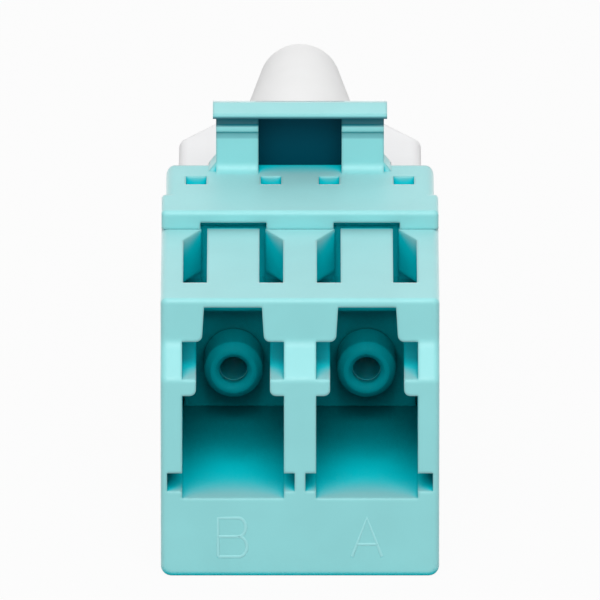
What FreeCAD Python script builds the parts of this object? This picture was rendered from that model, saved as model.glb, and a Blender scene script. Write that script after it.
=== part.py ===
import FreeCAD, Part
import os
import re
import Sketcher

# Duplex receptacle for LC plugs, the jack end of a fibre cord: a two-port housing, the split sleeves
# that line up the ferrules, two sprung ferrules of its own, and the rear cover and boot.
#
# Frame: millimetres, +Z up. The origin is in the plane of the port mouths, midway between the two
# optical axes and level with them. +Y runs into the ports, towards the boot. +X is to the right of
# someone who looks into the ports.

DIMENSIONS = {
    # front housing, outside
    "width": 13.0,
    "base_drop": 6.5,            # optical axes above the face that the part rests on
    "front_top": 6.85,           # top of the front housing above the axes
    "front_length": 13.0,
    "ledge_run": 1.35,           # how far the upper front face stands back behind the lower one
    # ports
    "port_pitch": 6.25,
    "port_width": 4.75,
    "port_height": 5.1,
    "port_reach": 12.2,          # port mouth to the sleeve holder
    "rail_gap": 3.45,
    "rail_thickness": 0.8,
    "lug_height": 1.4,
    "slot_roof": 6.45,
    "slot_width": 2.7,
    "slot_draft": 0.1,           # how much wider each side of the slot is at its foot
    "upper_reach": 11.3,         # depth of the latch space above the ports
    "groove_outer": 0.7,         # grooves along the foot of each port, outer and inner side
    "groove_inner": 0.5,
    "groove_foot": 0.35,         # height of the grooves' lower face above the port floor
    "groove_height": 0.9,
    "groove_reach": 9.0,
    # latch windows and the tongue between them
    "window_front": 3.6,
    "window_corner": 9.3,
    "window_rear": 10.7,
    "window_half_width": 2.34,
    "window_rear_half_width": 1.5,
    "tongue_width": 2.44,
    "tongue_end": 11.05,
    "tongue_gap_end": 11.6,
    # tenon of the front housing, inside the rear housing
    "tenon_half_width": 5.8,
    "tenon_foot": 5.2,
    "tenon_end": 16.0,
    "core_half_width": 5.5,          # level with the outer walls of the ports
    "core_foot": 3.2,
    "core_top": 3.6,
    "hook_spread": 1.76,         # hooks and their windows on either side of a port's axis
    "hook_width": 0.85,
    "hook_front": 14.5,
    "hook_rear": 15.4,
    "hook_height": 0.55,
    # rear housing
    "roof_thickness": 0.9,
    "roof_front": 10.7,
    "collar_width": 12.6,
    "collar_front": 13.0,
    "collar_rear": 17.0,
    "collar_wall": 0.45,
    "snap_window_width": 0.97,
    "snap_window_front": 14.4,
    "snap_window_rear": 15.5,
    "relief_half_width": 1.55,   # relief in the roof's front edge, over the end of each tongue
    "relief_height": 0.35,
    "relief_rear": 11.3,
    "rear_opening_half_width": 5.4,
    "rear_opening_half_height": 4.2,
    # clip bracket on the rear edge of the roof
    "clip_half_width": 3.95,
    "clip_bar_overhang": 0.15,
    "clip_front": 16.2,
    "clip_rear": 18.6,
    "clip_foot": 5.4,
    "clip_bar_foot": 10.55,
    "clip_bar_top": 10.95,
    "clip_bar_rear": 16.9,
    "clip_lip": 15.7,
    "clip_lip_thickness": 0.25,
    "clip_bar_fall": 0.55,
    "clip_rib_foot": 9.7,
    "clip_rib_thickness": 0.35,
    "clip_rib_reach": 0.15,
    "clip_window_half_width": 1.96,
    "clip_window_front": 17.15,
    "clip_window_rear": 18.1,
    "clip_well_foot": 6.2,
    "clip_gusset_width": 0.35,
    "clip_gusset_height": 0.45,
    "clip_gusset_rear": 17.4,
    # sleeve holder, its rear half and the split sleeves
    "plate_clearance": 0.05,
    "holder_rear": 13.4,
    "barrel_mouth": 10.0,
    "barrel_radius": 1.38,
    "barrel_bore_radius": 0.66,
    "barrel_mouth_depth": 0.2,
    "sleeve_room_radius": 0.86,
    "sleeve_room_front": 10.6,
    "sleeve_room_rear": 17.45,
    "retainer_plate_rear": 14.4,
    "retainer_tube_rear": 17.7,
    "sleeve_front": 10.65,
    "sleeve_length": 6.75,
    "sleeve_bore_radius": 0.64,
    "sleeve_radius": 0.81,
    "sleeve_slit": 0.2,
    # ferrule, its flange and spring
    "ferrule_tip": 14.0,
    "ferrule_rear": 20.5,
    "ferrule_radius": 0.6245,
    "ferrule_tip_radius": 0.45,
    "ferrule_tip_length": 0.35,
    "flange_front": 18.6,
    "flange_rear": 19.8,
    "flange_radius": 1.15,
    "flange_notch_width": 0.4,
    "flange_notch_floor": 0.9,
    "flange_tube_radius": 0.75,
    "flange_tube_bore": 0.45,
    "flange_tube_rear": 24.3,
    "spring_radius": 1.0,
    "spring_wire_radius": 0.13,
    "spring_turns": 4.0,
    "spring_seat": 23.2,
    # ferrule housings
    "shell_half_size": 2.0,      # half the width and height of a ferrule housing
    "shell_rear": 24.0,
    "shell_nose_bore": 1.45,
    "shell_web_front": 17.75,
    "shell_web_bore": 0.75,
    "shell_spring_bore": 1.3,
    # backbone that closes the ferrule housings, with the crimp post
    "backbone_half_width": 5.2,
    "backbone_foot": 5.2,
    "backbone_top": 4.3,
    "backbone_flange_rear": 25.2,
    "seat_radius": 1.25,
    "seat_bore": 0.85,
    "backbone_body_half_width": 3.9,
    "backbone_body_half_height": 2.2,
    "backbone_body_rear": 29.0,
    "backbone_wall": 0.8,
    "post_radius": 1.5,
    "post_bore": 1.0,
    "post_rear": 34.0,
    "crimp_radius": 1.85,
    "crimp_front": 29.6,
    "crimp_rear": 33.6,
    "crimp_flare": 0.15,
    # rear cover
    "cover_half_width": 5.75,
    "cover_top": 5.4,
    "cover_wall": 0.55,
    "cover_shoulder": 27.2,
    "cover_neck_front": 29.8,
    "cover_neck_half_width": 3.95,
    "cover_slope_front": 30.6,
    "cover_rear": 32.5,
    "cover_rear_half_width": 3.7,
    "cover_rear_half_height": 4.4,
    "cover_chamber_half_width": 4.1,
    "cover_chamber_shoulder": 28.6,
    "cover_chamber_rear_half_width": 3.3,
    "cover_chamber_half_height": 3.2,
    "cover_chamber_rear": 31.0,
    "cover_hole_radius": 2.6,
    # boot
    "boot_collar_front": 30.0,
    "boot_collar_radius": 3.1,
    "boot_radius": 2.8,
    "boot_taper_front": 41.2,
    "boot_tip": 50.5,
    "boot_tip_radius": 1.67,
    "boot_room_radius": 2.05,
    "boot_room_rear": 34.4,
    "boot_cord_radius": 0.85,
    # rounded edges
    "round_foot": 0.5,
    "round_brow": 0.4,
    "round_ledge": 0.6,
    "round_top": 0.2,
    "round_side": 0.3,
    "round_collar": 0.4,
    "round_clip": 0.45,
    "round_tongue": 0.25,
    "round_rail": 0.3,
    "round_cover": 0.5,
    "round_barrel": 0.3,
    "round_boot_tip": 0.4,
}

TOLERANCE = 1e-4
WIRE_FLATS = 4
EXPORT_FOLDER = "parts"
SIDES = {"left": -1, "right": 1}

doc = FreeCAD.newDocument("lc_receptacle")
dims = doc.addObject("Spreadsheet::Sheet", "dims")


def fill_sheet():
    """Write each driving dimension into the sheet, with its name beside it as the cell's alias."""
    for row, (name, size) in enumerate(DIMENSIONS.items(), start=1):
        dims.set(f"A{row}", name)
        dims.set(f"B{row}", str(size))
        dims.setAlias(f"B{row}", name)
    doc.recompute()


def bound(text):
    """Spell a formula of dimension names as an expression on the sheet's cells."""
    return re.sub(r"[a-z]\w*", lambda name: f"dims.{name.group(0)}", text)


def value(text):
    """Work out a formula of dimension names."""
    return float(dims.evalExpression(bound(text)))


# ---- sketches and features ----------------------------------------------------------------------

def new_body(label):
    body = doc.addObject("PartDesign::Body", label)
    body.Label = label
    return body


def origin_plane(body, role):
    return next(item for item in body.Origin.OriginFeatures if item.Role == role)


def new_sketch(body, role, start="0"):
    """Attach a sketch to one of the body's origin planes, moved to start along the plane's axis."""
    sketch = body.newObject("Sketcher::SketchObject", f"{body.Label}_sketch")
    sketch.AttachmentSupport = [(origin_plane(body, role), "")]
    sketch.MapMode = "FlatFace"
    # the XZ plane faces -Y
    away = f"-({start})" if role == "XZ_Plane" else start
    sketch.setExpression("AttachmentOffset.Base.z", bound(away))
    return sketch


def fix_point(sketch, geometry, point, across, up):
    """Fix a point of a sketch by its two distances from the sketch's origin."""
    for kind, text in (("DistanceX", across), ("DistanceY", up)):
        rule = Sketcher.Constraint(kind, -1, 1, geometry, point, value(text))
        index = sketch.addConstraint(rule)
        sketch.setExpression(f"Constraints[{index}]", bound(text))


def draw_outline(sketch, corners):
    """Draw a closed outline of straight lines through corners given as formulas."""
    first = sketch.GeometryCount
    points = [FreeCAD.Vector(value(across), value(up), 0) for across, up in corners]
    for start, end in zip(points, points[1:] + points[:1]):
        sketch.addGeometry(Part.LineSegment(start, end), False)
    for step, (across, up) in enumerate(corners):
        line = first + step
        following = first + (step + 1) % len(corners)
        sketch.addConstraint(Sketcher.Constraint("Coincident", line, 2, following, 1))
        fix_point(sketch, line, 1, across, up)


def draw_circle(sketch, across, up, radius):
    centre = FreeCAD.Vector(value(across), value(up), 0)
    circle = Part.Circle(centre, FreeCAD.Vector(0, 0, 1), value(radius))
    index = sketch.addGeometry(circle, False)
    fix_point(sketch, index, 3, across, up)
    rule = sketch.addConstraint(Sketcher.Constraint("Radius", index, value(radius)))
    sketch.setExpression(f"Constraints[{rule}]", bound(radius))


def rectangle(left, right, foot, top):
    return [(left, foot), (right, foot), (right, top), (left, top)]


def volume(body):
    return 0.0 if body.Shape.isNull() else body.Shape.Volume


def extrude(body, kind, role, start, end, loops):
    """Pad or pocket closed loops from start to end along the axis of the named plane.

    A loop is a list of corners, or the centre and radius of a circle."""
    sketch = new_sketch(body, role, start)
    for loop in loops:
        if isinstance(loop, list):
            draw_outline(sketch, loop)
        else:
            draw_circle(sketch, *loop)
    before = volume(body)
    feature = body.newObject(f"PartDesign::{kind}", f"{body.Label}_{kind.lower()}")
    feature.Profile = sketch
    feature.setExpression("Length", bound(f"({end}) - ({start})"))
    feature.Reversed = (kind == "Pocket") != (role == "XZ_Plane")
    doc.recompute()
    change = volume(body) - before
    if (change <= TOLERANCE) == (kind == "Pad"):
        raise RuntimeError(f"{feature.Name} changed the volume of {body.Label} by {change:.3f}")
    return feature


def pad(body, role, start, end, *loops):
    return extrude(body, "Pad", role, start, end, loops)


def pocket(body, role, start, end, *loops):
    return extrude(body, "Pocket", role, start, end, loops)


def turn(body, corners, kind="Revolution"):
    """Turn an outline of (radius, depth) corners about the body's Y axis."""
    sketch = new_sketch(body, "XY_Plane")
    draw_outline(sketch, corners)
    feature = body.newObject(f"PartDesign::{kind}", f"{body.Label}_{kind.lower()}")
    feature.Profile = sketch
    feature.ReferenceAxis = (sketch, ["V_Axis"])
    feature.Angle = 360
    doc.recompute()
    return feature


def mirror(body, features):
    """Repeat features on the other side of the plane between the ports."""
    twin = body.newObject("PartDesign::Mirrored", f"{body.Label}_mirrored")
    twin.Originals = features
    twin.MirrorPlane = (origin_plane(body, "YZ_Plane"), [""])
    body.Tip = twin
    doc.recompute()
    return twin


def lies_on(edge, place):
    """Whether an edge lies on every given coordinate, on either side of the frame's planes."""
    box = edge.BoundBox
    spans = {"x": (box.XMin, box.XMax), "y": (box.YMin, box.YMax), "z": (box.ZMin, box.ZMax)}
    return all(
        spans[axis][1] - spans[axis][0] < TOLERANCE
        and abs(abs(spans[axis][0]) - abs(wanted)) < TOLERANCE
        for axis, wanted in place.items())


def work_edges(body, radius, chosen, kind="Fillet"):
    """Fillet or chamfer every edge of the body for which chosen(edge) holds."""
    base = body.Tip
    names = [f"Edge{number}" for number, edge in enumerate(base.Shape.Edges, start=1) if chosen(edge)]
    if not names:
        raise RuntimeError(f"no edge of {body.Label} is chosen for {radius}")
    feature = body.newObject(f"PartDesign::{kind}", f"{body.Label}_{kind.lower()}")
    feature.Base = (base, names)
    feature.setExpression("Radius" if kind == "Fillet" else "Size", bound(radius))
    doc.recompute()
    return feature


def round_edges(body, radius, *places, kind="Fillet"):
    """Round the edges that lie on the given planes, each plane's place being a formula."""
    wanted = [{axis: value(text) for axis, text in place.items()} for place in places]
    return work_edges(body, radius, lambda edge: any(lies_on(edge, place) for place in wanted), kind)


def round_mouths(body, size, depth, radius):
    """Chamfer the circular edges of one radius that lie at one depth."""
    place, width = {"y": value(depth)}, 2 * value(radius)
    work_edges(
        body, size,
        lambda edge: lies_on(edge, place) and abs(edge.BoundBox.XLength - width) < TOLERANCE, "Chamfer")


def set_on_axis(item, side):
    """Move a piece modelled about the Y axis onto the optical axis of one port."""
    item.setExpression("Placement.Base.x", bound(f"{SIDES[side]} * port_pitch / 2"))


# ---- the pieces ---------------------------------------------------------------------------------

AXIS = "port_pitch / 2"
RAIL_TOP = "port_height / 2 + rail_thickness"
LUG_TOP = f"{RAIL_TOP} + lug_height"
ROOF_TOP = "front_top + roof_thickness"


def port_mouth():
    """The square part of a port, as wide and as high as a plug's body."""
    return rectangle(
        f"{AXIS} - port_width / 2", f"{AXIS} + port_width / 2", "-port_height / 2", "port_height / 2")


def latch_space():
    """The space above the square: the gap between the rails, the lug channels and the latch slot."""
    half = {
        "gap": "rail_gap / 2",
        "lug": "port_width / 2",
        "foot": "slot_width / 2 + slot_draft",
        "roof": "slot_width / 2",
    }
    steps = [
        ("gap", "0"), ("gap", RAIL_TOP), ("lug", RAIL_TOP), ("lug", LUG_TOP),
        ("foot", LUG_TOP), ("roof", "slot_roof")]
    right = [(f"{AXIS} + {half[name]}", height) for name, height in steps]
    left = [(f"{AXIS} - ({half[name]})", height) for name, height in reversed(steps)]
    return right + left


def latch_windows():
    """The cut that opens the two latch windows and frees the tongue between them."""
    sides = [
        ("window_half_width", "window_front"), ("window_half_width", "window_corner"),
        ("window_rear_half_width", "window_rear"), ("window_rear_half_width", "tongue_gap_end")]
    tongue = [("tongue_width / 2", "tongue_end"), ("tongue_width / 2", "window_front")]
    right = [(f"{AXIS} + {half}", depth) for half, depth in sides]
    left = [(f"{AXIS} - ({half})", depth) for half, depth in reversed(sides)]
    tongue_left = [(f"{AXIS} - ({half})", depth) for half, depth in reversed(tongue)]
    tongue_right = [(f"{AXIS} + {half}", depth) for half, depth in tongue]
    return right + left + tongue_left + tongue_right


def front_housing():
    """The two-port block that the plugs enter, with a stepped face and a tenon at the rear."""
    body = new_body("front_housing")
    ledge_top = f"{RAIL_TOP} + ledge_run"
    side_face = [
        ("0", "-base_drop"), ("front_length", "-base_drop"), ("front_length", "front_top"),
        ("ledge_run", "front_top"), ("ledge_run", ledge_top), ("0", RAIL_TOP)]
    pad(body, "YZ_Plane", "-width / 2", "width / 2", side_face)
    round_edges(body, "round_ledge", {"y": "ledge_run", "z": ledge_top})
    round_edges(body, "round_brow", {"y": "0", "z": RAIL_TOP})
    round_edges(body, "round_foot", {"x": "width / 2", "z": "base_drop"})
    round_edges(body, "round_top", {"y": "ledge_run", "z": "front_top"})
    round_edges(body, "round_side", {"x": "width / 2", "z": "front_top"})
    tenon = rectangle("-tenon_half_width", "tenon_half_width", "-tenon_foot", "front_top")
    pad(body, "XZ_Plane", "front_length", "tenon_end", tenon)
    core = rectangle("-core_half_width", "core_half_width", "-core_foot", "core_top")
    pocket(body, "XZ_Plane", "port_reach", "tenon_end", core)

    outer_groove = rectangle(
        f"{AXIS} + port_width / 2 - groove_inner", f"{AXIS} + port_width / 2 + groove_outer",
        "-port_height / 2 + groove_foot", "-port_height / 2 + groove_foot + groove_height")
    inner_groove = rectangle(
        f"{AXIS} - port_width / 2 - groove_inner", f"{AXIS} - port_width / 2 + groove_inner",
        "-port_height / 2 + groove_foot", "-port_height / 2 + groove_foot + groove_height")
    cuts = [
        pocket(body, "XZ_Plane", "0", "port_reach", port_mouth()),
        pocket(body, "XZ_Plane", "0", "upper_reach", latch_space()),
        pocket(body, "XZ_Plane", "0", "groove_reach", outer_groove, inner_groove),
        pocket(body, "XY_Plane", RAIL_TOP, "front_top", latch_windows()),
    ]
    mirror(body, cuts)
    round_edges(
        body, "round_tongue", *({"x": f"{AXIS} + {side} * tongue_width / 2", "y": "tongue_end"}
                                for side in SIDES.values()))
    round_edges(
        body, "round_rail", *({"x": f"{AXIS} + {side} * rail_gap / 2", "z": "port_height / 2"}
                              for side in SIDES.values()))
    slot_foot = "(slot_width / 2 + slot_draft)"
    round_edges(
        body, "round_rail", *({"x": f"{AXIS} + {side} * {slot_foot}", "z": LUG_TOP}
                              for side in SIDES.values()))

    hook_side = [
        ("hook_front", "front_top - hook_height"), ("hook_rear", "front_top - hook_height"),
        ("hook_rear", "front_top"), ("hook_front", "front_top + hook_height")]
    hooks = [
        pad(body, "YZ_Plane", f"{place} - hook_width / 2", f"{place} + hook_width / 2", hook_side)
        for place in (f"{AXIS} - hook_spread", f"{AXIS} + hook_spread")]
    mirror(body, hooks)
    return body


def rear_housing():
    """The collar behind the ports: its roof laps over the front housing and carries the clip."""
    body = new_body("rear_housing")
    half = "collar_width / 2"
    collar = rectangle(f"-{half}", half, "-base_drop", ROOF_TOP)
    pad(body, "XZ_Plane", "collar_front", "collar_rear", collar)
    round_edges(body, "round_collar", {"x": half, "y": "collar_rear"}, {"x": half, "z": ROOF_TOP})
    round_edges(body, "round_foot", {"x": half, "z": "base_drop"})
    roof = rectangle("-width / 2", "width / 2", "front_top", ROOF_TOP)
    pad(body, "XZ_Plane", "roof_front", "collar_front", roof)
    round_edges(
        body, "round_top", {"y": "roof_front", "z": ROOF_TOP}, {"x": "width / 2", "z": ROOF_TOP},
        {"x": "width / 2", "y": "roof_front"})
    room_half = f"{half} - collar_wall - plate_clearance"
    room = rectangle(f"-({room_half})", room_half, "-tenon_foot - plate_clearance", "front_top")
    pocket(body, "XZ_Plane", "collar_front", "tenon_end + plate_clearance", room)

    clip_side = [
        ("clip_front", "front_top"), ("clip_front", "clip_rib_foot"),
        ("clip_front - clip_rib_reach", "clip_rib_foot + clip_rib_reach / 2"),
        ("clip_front - clip_rib_reach", "clip_rib_foot + clip_rib_thickness"),
        ("clip_front", "clip_rib_foot + clip_rib_thickness + clip_rib_reach / 2"),
        ("clip_front", "clip_bar_foot"), ("clip_bar_rear", "clip_bar_foot"),
        ("clip_rear", "clip_bar_foot - clip_bar_fall"), ("clip_rear", "clip_foot"),
        ("collar_rear - round_collar", "clip_foot"), ("collar_rear - round_collar", "front_top")]
    pad(body, "YZ_Plane", "-clip_half_width", "clip_half_width", clip_side)
    round_edges(body, "round_clip", {"y": "clip_front", "z": ROOF_TOP})
    bar_side = [
        ("clip_lip", "clip_bar_foot"), ("clip_lip", "clip_bar_foot + clip_lip_thickness"),
        ("clip_bar_rear", "clip_bar_top"), ("clip_rear", "clip_bar_top - clip_bar_fall"),
        ("clip_rear", "clip_bar_foot - clip_bar_fall"), ("clip_bar_rear", "clip_bar_foot")]
    bar_half = "clip_half_width + clip_bar_overhang"
    pad(body, "YZ_Plane", f"-({bar_half})", bar_half, bar_side)
    gussets = [
        [(f"{side} * clip_half_width", ROOF_TOP),
         (f"{side} * (clip_half_width + clip_gusset_width)", ROOF_TOP),
         (f"{side} * clip_half_width", f"{ROOF_TOP} + clip_gusset_height")]
        for side in SIDES.values()]
    pad(body, "XZ_Plane", "collar_rear - 2 * round_collar", "clip_gusset_rear", *gussets)
    mouth_and_well = [
        ("clip_lip", ROOF_TOP), ("clip_lip", "clip_bar_foot"), ("clip_bar_rear", "clip_bar_foot"),
        ("clip_window_rear", "clip_bar_foot - clip_bar_fall"), ("clip_window_rear", "clip_well_foot"),
        ("clip_window_front", "clip_well_foot"), ("clip_window_front", ROOF_TOP)]
    pocket(body, "YZ_Plane", "-clip_window_half_width", "clip_window_half_width", mouth_and_well)

    opening = rectangle(
        "-rear_opening_half_width", "rear_opening_half_width",
        "-rear_opening_half_height", "rear_opening_half_height")
    pocket(body, "XZ_Plane", "tenon_end", "collar_rear", opening)
    snap_windows = [
        rectangle(f"{place} - snap_window_width / 2", f"{place} + snap_window_width / 2",
                  "snap_window_front", "snap_window_rear")
        for place in (f"{AXIS} - hook_spread", f"{AXIS} + hook_spread")]
    relief = rectangle(
        f"{AXIS} - relief_half_width", f"{AXIS} + relief_half_width", "roof_front", "relief_rear")
    cuts = [
        pocket(body, "XY_Plane", "front_top", ROOF_TOP, *snap_windows),
        pocket(body, "XY_Plane", "front_top", "front_top + relief_height", relief),
    ]
    mirror(body, cuts)
    return body


def holder_plate(body, start, end):
    """The plate that fills the core of the front housing and ties two sleeve barrels together."""
    plate = rectangle(
        "-core_half_width + plate_clearance", "core_half_width - plate_clearance",
        "-core_foot + plate_clearance", "core_top - plate_clearance")
    pad(body, "XZ_Plane", start, end, plate)


def on_both_axes(radius):
    return [(f"{side} * {AXIS}", "0", radius) for side in SIDES.values()]


def sleeve_holder():
    """The front half of the holder: its barrels stand in the ports and take the plugs' ferrules."""
    body = new_body("sleeve_holder")
    holder_plate(body, "port_reach", "holder_rear")
    pad(body, "XZ_Plane", "barrel_mouth", "port_reach", *on_both_axes("barrel_radius"))
    round_mouths(body, "round_barrel", "barrel_mouth", "barrel_radius")
    pocket(body, "XZ_Plane", "barrel_mouth", "sleeve_room_front", *on_both_axes("barrel_bore_radius"))
    pocket(body, "XZ_Plane", "sleeve_room_front", "holder_rear", *on_both_axes("sleeve_room_radius"))
    round_mouths(body, "barrel_mouth_depth", "barrel_mouth", "barrel_bore_radius")
    return body


def sleeve_retainer():
    """The rear half of the holder, which keeps the sleeves in."""
    body = new_body("sleeve_retainer")
    holder_plate(body, "holder_rear", "retainer_plate_rear")
    pad(body, "XZ_Plane", "retainer_plate_rear", "retainer_tube_rear", *on_both_axes("barrel_radius"))
    pocket(body, "XZ_Plane", "holder_rear", "sleeve_room_rear", *on_both_axes("sleeve_room_radius"))
    lip = on_both_axes("barrel_bore_radius + plate_clearance")
    pocket(body, "XZ_Plane", "sleeve_room_rear", "retainer_tube_rear", *lip)
    return body


def split_sleeve(side):
    """The slit ceramic tube that holds two ferrules in line."""
    body = new_body(f"{side}_split_sleeve")
    end = "sleeve_front + sleeve_length"
    wall = [("0", "0", "sleeve_radius"), ("0", "0", "sleeve_bore_radius")]
    pad(body, "XZ_Plane", "sleeve_front", end, *wall)
    slit = rectangle("-sleeve_slit / 2", "sleeve_slit / 2", "0", "sleeve_radius")
    pocket(body, "XZ_Plane", "sleeve_front", end, slit)
    set_on_axis(body, side)
    return body


def ferrule(side):
    """The ceramic ferrule, bevelled at the polished tip."""
    body = new_body(f"{side}_ferrule")
    turn(body, [
        ("0", "ferrule_tip"), ("ferrule_tip_radius", "ferrule_tip"),
        ("ferrule_radius", "ferrule_tip + ferrule_tip_length"), ("ferrule_radius", "ferrule_rear"),
        ("0", "ferrule_rear")])
    set_on_axis(body, side)
    return body


def ferrule_flange(side):
    """The metal flange pressed on the ferrule: a notched collar and the tube that the spring rides on."""
    body = new_body(f"{side}_ferrule_flange")
    turn(body, [
        ("ferrule_radius", "flange_front"), ("flange_radius", "flange_front"),
        ("flange_radius", "flange_rear"), ("flange_tube_radius", "flange_rear"),
        ("flange_tube_radius", "flange_tube_rear"), ("flange_tube_bore", "flange_tube_rear"),
        ("flange_tube_bore", "ferrule_rear"), ("ferrule_radius", "ferrule_rear")])
    half = "flange_notch_width / 2"
    upright = rectangle(f"-{half}", half, "flange_notch_floor", "flange_radius")
    hanging = rectangle(f"-{half}", half, "-flange_radius", "-flange_notch_floor")
    right = rectangle("flange_notch_floor", "flange_radius", f"-{half}", half)
    left = rectangle("-flange_radius", "-flange_notch_floor", f"-{half}", half)
    pocket(body, "XZ_Plane", "flange_front", "flange_rear", upright, hanging, right, left)
    set_on_axis(body, side)
    return body


def ferrule_spring(side):
    """The coil spring between the flange and the backbone, its wire swept along a helix.

    The wire's section is a square of about the round wire's area, which keeps its faces few."""
    helix = doc.addObject("Part::Helix", f"{side}_spring_path")
    first = "flange_rear + spring_wire_radius"
    span = "spring_seat - flange_rear - 2 * spring_wire_radius"
    helix.setExpression("Radius", bound("spring_radius"))
    helix.setExpression("Height", bound(span))
    helix.setExpression("Pitch", bound(f"({span}) / spring_turns"))
    wire = doc.addObject("Part::RegularPolygon", f"{side}_spring_wire")
    wire.Polygon = WIRE_FLATS
    wire.setExpression("Circumradius", bound("spring_wire_radius"))
    wire.setExpression("Placement.Base.x", bound("spring_radius"))
    wire.Placement.Rotation = FreeCAD.Rotation(FreeCAD.Vector(1, 0, 0), 90)
    doc.recompute()
    spring = doc.addObject("Part::Sweep", f"{side}_ferrule_spring")
    spring.Label = f"{side}_ferrule_spring"
    spring.Sections = [wire]
    spring.Spine = (helix, ["Edge1"])
    spring.Solid = True
    spring.Frenet = True
    spring.Placement.Rotation = FreeCAD.Rotation(FreeCAD.Vector(1, 0, 0), -90)
    spring.setExpression("Placement.Base.y", bound(first))
    set_on_axis(spring, side)
    doc.recompute()
    return spring


def ferrule_housing(side):
    """The square plug frame behind the sleeves: it seats the flange and keeps the spring straight."""
    body = new_body(f"{side}_ferrule_housing")
    square = rectangle("-shell_half_size", "shell_half_size", "-shell_half_size", "shell_half_size")
    pad(body, "XZ_Plane", "retainer_plate_rear", "shell_rear", square)
    round_edges(body, "round_side", {"x": "shell_half_size", "z": "shell_half_size"})
    pocket(body, "XZ_Plane", "retainer_plate_rear", "shell_web_front", ("0", "0", "shell_nose_bore"))
    pocket(body, "XZ_Plane", "shell_web_front", "flange_front", ("0", "0", "shell_web_bore"))
    pocket(body, "XZ_Plane", "flange_front", "shell_rear", ("0", "0", "shell_spring_bore"))
    set_on_axis(body, side)
    return body


def backbone():
    """The frame behind the springs: two spring seats, a hollow body for the fibres, a crimp post."""
    body = new_body("backbone")
    flange = rectangle("-backbone_half_width", "backbone_half_width", "-backbone_foot", "backbone_top")
    pad(body, "XZ_Plane", "shell_rear", "backbone_flange_rear", flange)
    pad(body, "XZ_Plane", "spring_seat", "shell_rear", *on_both_axes("seat_radius"))
    half_width, half_height = "backbone_body_half_width", "backbone_body_half_height"
    block = rectangle(f"-{half_width}", half_width, f"-{half_height}", half_height)
    pad(body, "XZ_Plane", "backbone_flange_rear", "backbone_body_rear", block)
    round_edges(body, "round_collar", {"x": half_width, "y": "backbone_body_rear"})
    pad(body, "XZ_Plane", "backbone_body_rear", "post_rear", ("0", "0", "post_radius"))
    pocket(body, "XZ_Plane", "spring_seat", "backbone_flange_rear", *on_both_axes("seat_bore"))
    room = rectangle(
        f"-{half_width} + backbone_wall / 2", f"{half_width} - backbone_wall / 2",
        f"-{half_height} + backbone_wall", f"{half_height} - backbone_wall")
    pocket(body, "XZ_Plane", "backbone_flange_rear", "backbone_body_rear - backbone_wall", room)
    pocket(body, "XZ_Plane", "backbone_body_rear - backbone_wall", "post_rear", ("0", "0", "post_bore"))
    return body


def crimp_sleeve():
    """The metal sleeve crimped over the post, flared at its front end."""
    body = new_body("crimp_sleeve")
    turn(body, [
        ("post_radius", "crimp_front"), ("crimp_radius + crimp_flare", "crimp_front"),
        ("crimp_radius + crimp_flare", "crimp_front + 2 * crimp_flare"),
        ("crimp_radius", "crimp_front + 4 * crimp_flare"),
        ("crimp_radius", "crimp_rear"), ("post_radius", "crimp_rear")])
    return body


def rear_cover():
    """The cover over the rear works, drawn in at the shoulders to a neck for the boot."""
    body = new_body("rear_cover")
    plan = [
        ("-cover_half_width", "collar_rear"), ("cover_half_width", "collar_rear"),
        ("cover_half_width", "cover_shoulder"), ("cover_neck_half_width", "cover_neck_front"),
        ("cover_rear_half_width", "cover_rear"), ("-cover_rear_half_width", "cover_rear"),
        ("-cover_neck_half_width", "cover_neck_front"), ("-cover_half_width", "cover_shoulder")]
    pad(body, "XY_Plane", "-base_drop", "cover_top", plan)
    top_slope = [
        ("cover_slope_front", "cover_top"), ("cover_rear", "cover_rear_half_height"),
        ("cover_rear", "cover_top")]
    foot_slope = [
        ("cover_slope_front", "-base_drop"), ("cover_rear", "-base_drop"),
        ("cover_rear", "-cover_rear_half_height")]
    pocket(body, "YZ_Plane", "-cover_half_width", "cover_half_width", top_slope, foot_slope)
    work_edges(body, "round_cover", on_cover_rim)
    inner_half = "cover_half_width - cover_wall"
    room_foot, room_top = "-backbone_foot - plate_clearance", "backbone_top + plate_clearance"
    room = rectangle(f"-({inner_half})", inner_half, room_foot, room_top)
    pocket(body, "XZ_Plane", "collar_rear", "backbone_flange_rear", room)
    chamber = [
        ("-cover_chamber_half_width", "backbone_flange_rear"),
        ("cover_chamber_half_width", "backbone_flange_rear"),
        ("cover_chamber_half_width", "cover_chamber_shoulder"),
        ("cover_chamber_rear_half_width", "cover_neck_front"),
        ("cover_chamber_rear_half_width", "cover_chamber_rear"),
        ("-cover_chamber_rear_half_width", "cover_chamber_rear"),
        ("-cover_chamber_rear_half_width", "cover_neck_front"),
        ("-cover_chamber_half_width", "cover_chamber_shoulder")]
    pocket(body, "XY_Plane", "-cover_chamber_half_height", "cover_chamber_half_height", chamber)
    pocket(body, "XZ_Plane", "cover_chamber_rear", "cover_rear", ("0", "0", "cover_hole_radius"))
    return body


def on_cover_rim(edge):
    """Whether an edge runs along the cover or stands at its shoulders, clear of its front face."""
    box = edge.BoundBox
    along = box.YMax - box.YMin > TOLERANCE
    upright = box.XMax - box.XMin < TOLERANCE and box.YMin > value("collar_rear") + TOLERANCE
    return along or upright


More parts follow.
